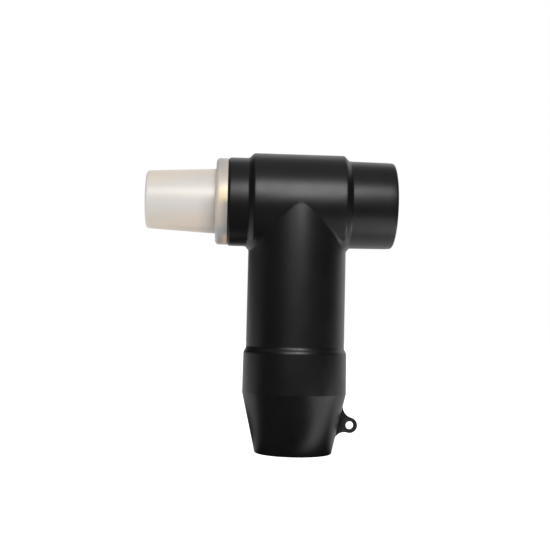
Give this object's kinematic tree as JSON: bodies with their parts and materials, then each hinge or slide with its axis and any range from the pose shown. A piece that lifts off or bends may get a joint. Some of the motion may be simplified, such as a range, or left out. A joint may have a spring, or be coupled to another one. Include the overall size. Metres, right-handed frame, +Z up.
{
  "type": "separable cable connector",
  "caption": "Rear tee connector for screened medium-voltage cable, with a translucent plug cone, a tapered socket arm, a copper contact and an earthing eye.",
  "frame": {"origin": "centre of the cable entry's rim, on the surface the connector stands on", "axes": "+Z up the trunk along the cable's axis, +X along the socket arm, -X along the plug cone, and the arms' axis lies in the plane y = 0 at a height of 215 mm"},
  "size_m": [0.2133, 0.0894, 0.2576],
  "materials": {
    "jacket": "satin black conductive silicone rubber",
    "insulation": "milky translucent silicone rubber",
    "insert": "matt black conductive silicone rubber",
    "copper": "turned copper",
    "steel": "zinc-plated steel"
  },
  "bodies": {
    "root": {"outer_screen": "jacket", "insulating_body": "insulation", "inner_screen": "insert", "contact_rod": "copper", "contact_stud": "steel", "plain_washer": "steel", "spring_washer": "steel", "hex_nut": "steel"}
  },
  "joints": []
}
